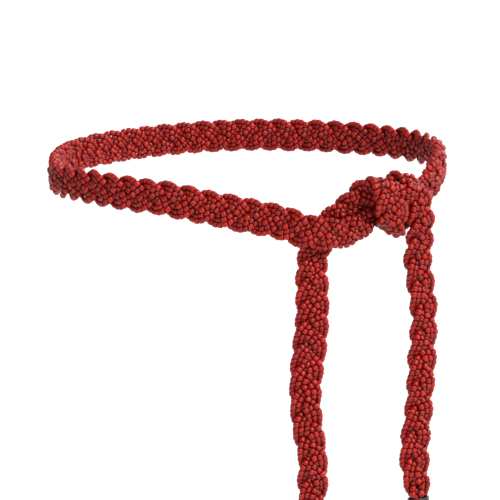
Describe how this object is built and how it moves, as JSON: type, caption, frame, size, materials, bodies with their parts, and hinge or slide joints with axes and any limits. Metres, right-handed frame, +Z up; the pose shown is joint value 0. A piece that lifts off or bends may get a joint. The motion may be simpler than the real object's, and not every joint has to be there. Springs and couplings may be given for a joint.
{
  "type": "rope belt",
  "caption": "Flat plaited belt of coral-red seed-bead strings, worn round a waist and tied in a half knot, with two hanging tails in small dark end caps.",
  "frame": {"origin": "middle of the waist that the belt goes round, level with the hips' turn of the belt; the belt is held up there by whoever wears it", "axes": "+X to the right as the front is seen, towards the hip beside the knot; -Y to the front, where the knot and tails are; +Z up, along the waist's axis"},
  "size_m": [0.2956, 0.2166, 0.2856],
  "materials": {
    "beads": "opaque coral-red glass seed beads, semi-gloss",
    "end_cap": "dark charcoal, satin"
  },
  "bodies": {
    "root": {"strand_a": "beads", "strand_b": "beads", "strand_c": "beads", "end_cap_left": "end_cap", "end_cap_right": "end_cap"}
  },
  "joints": []
}
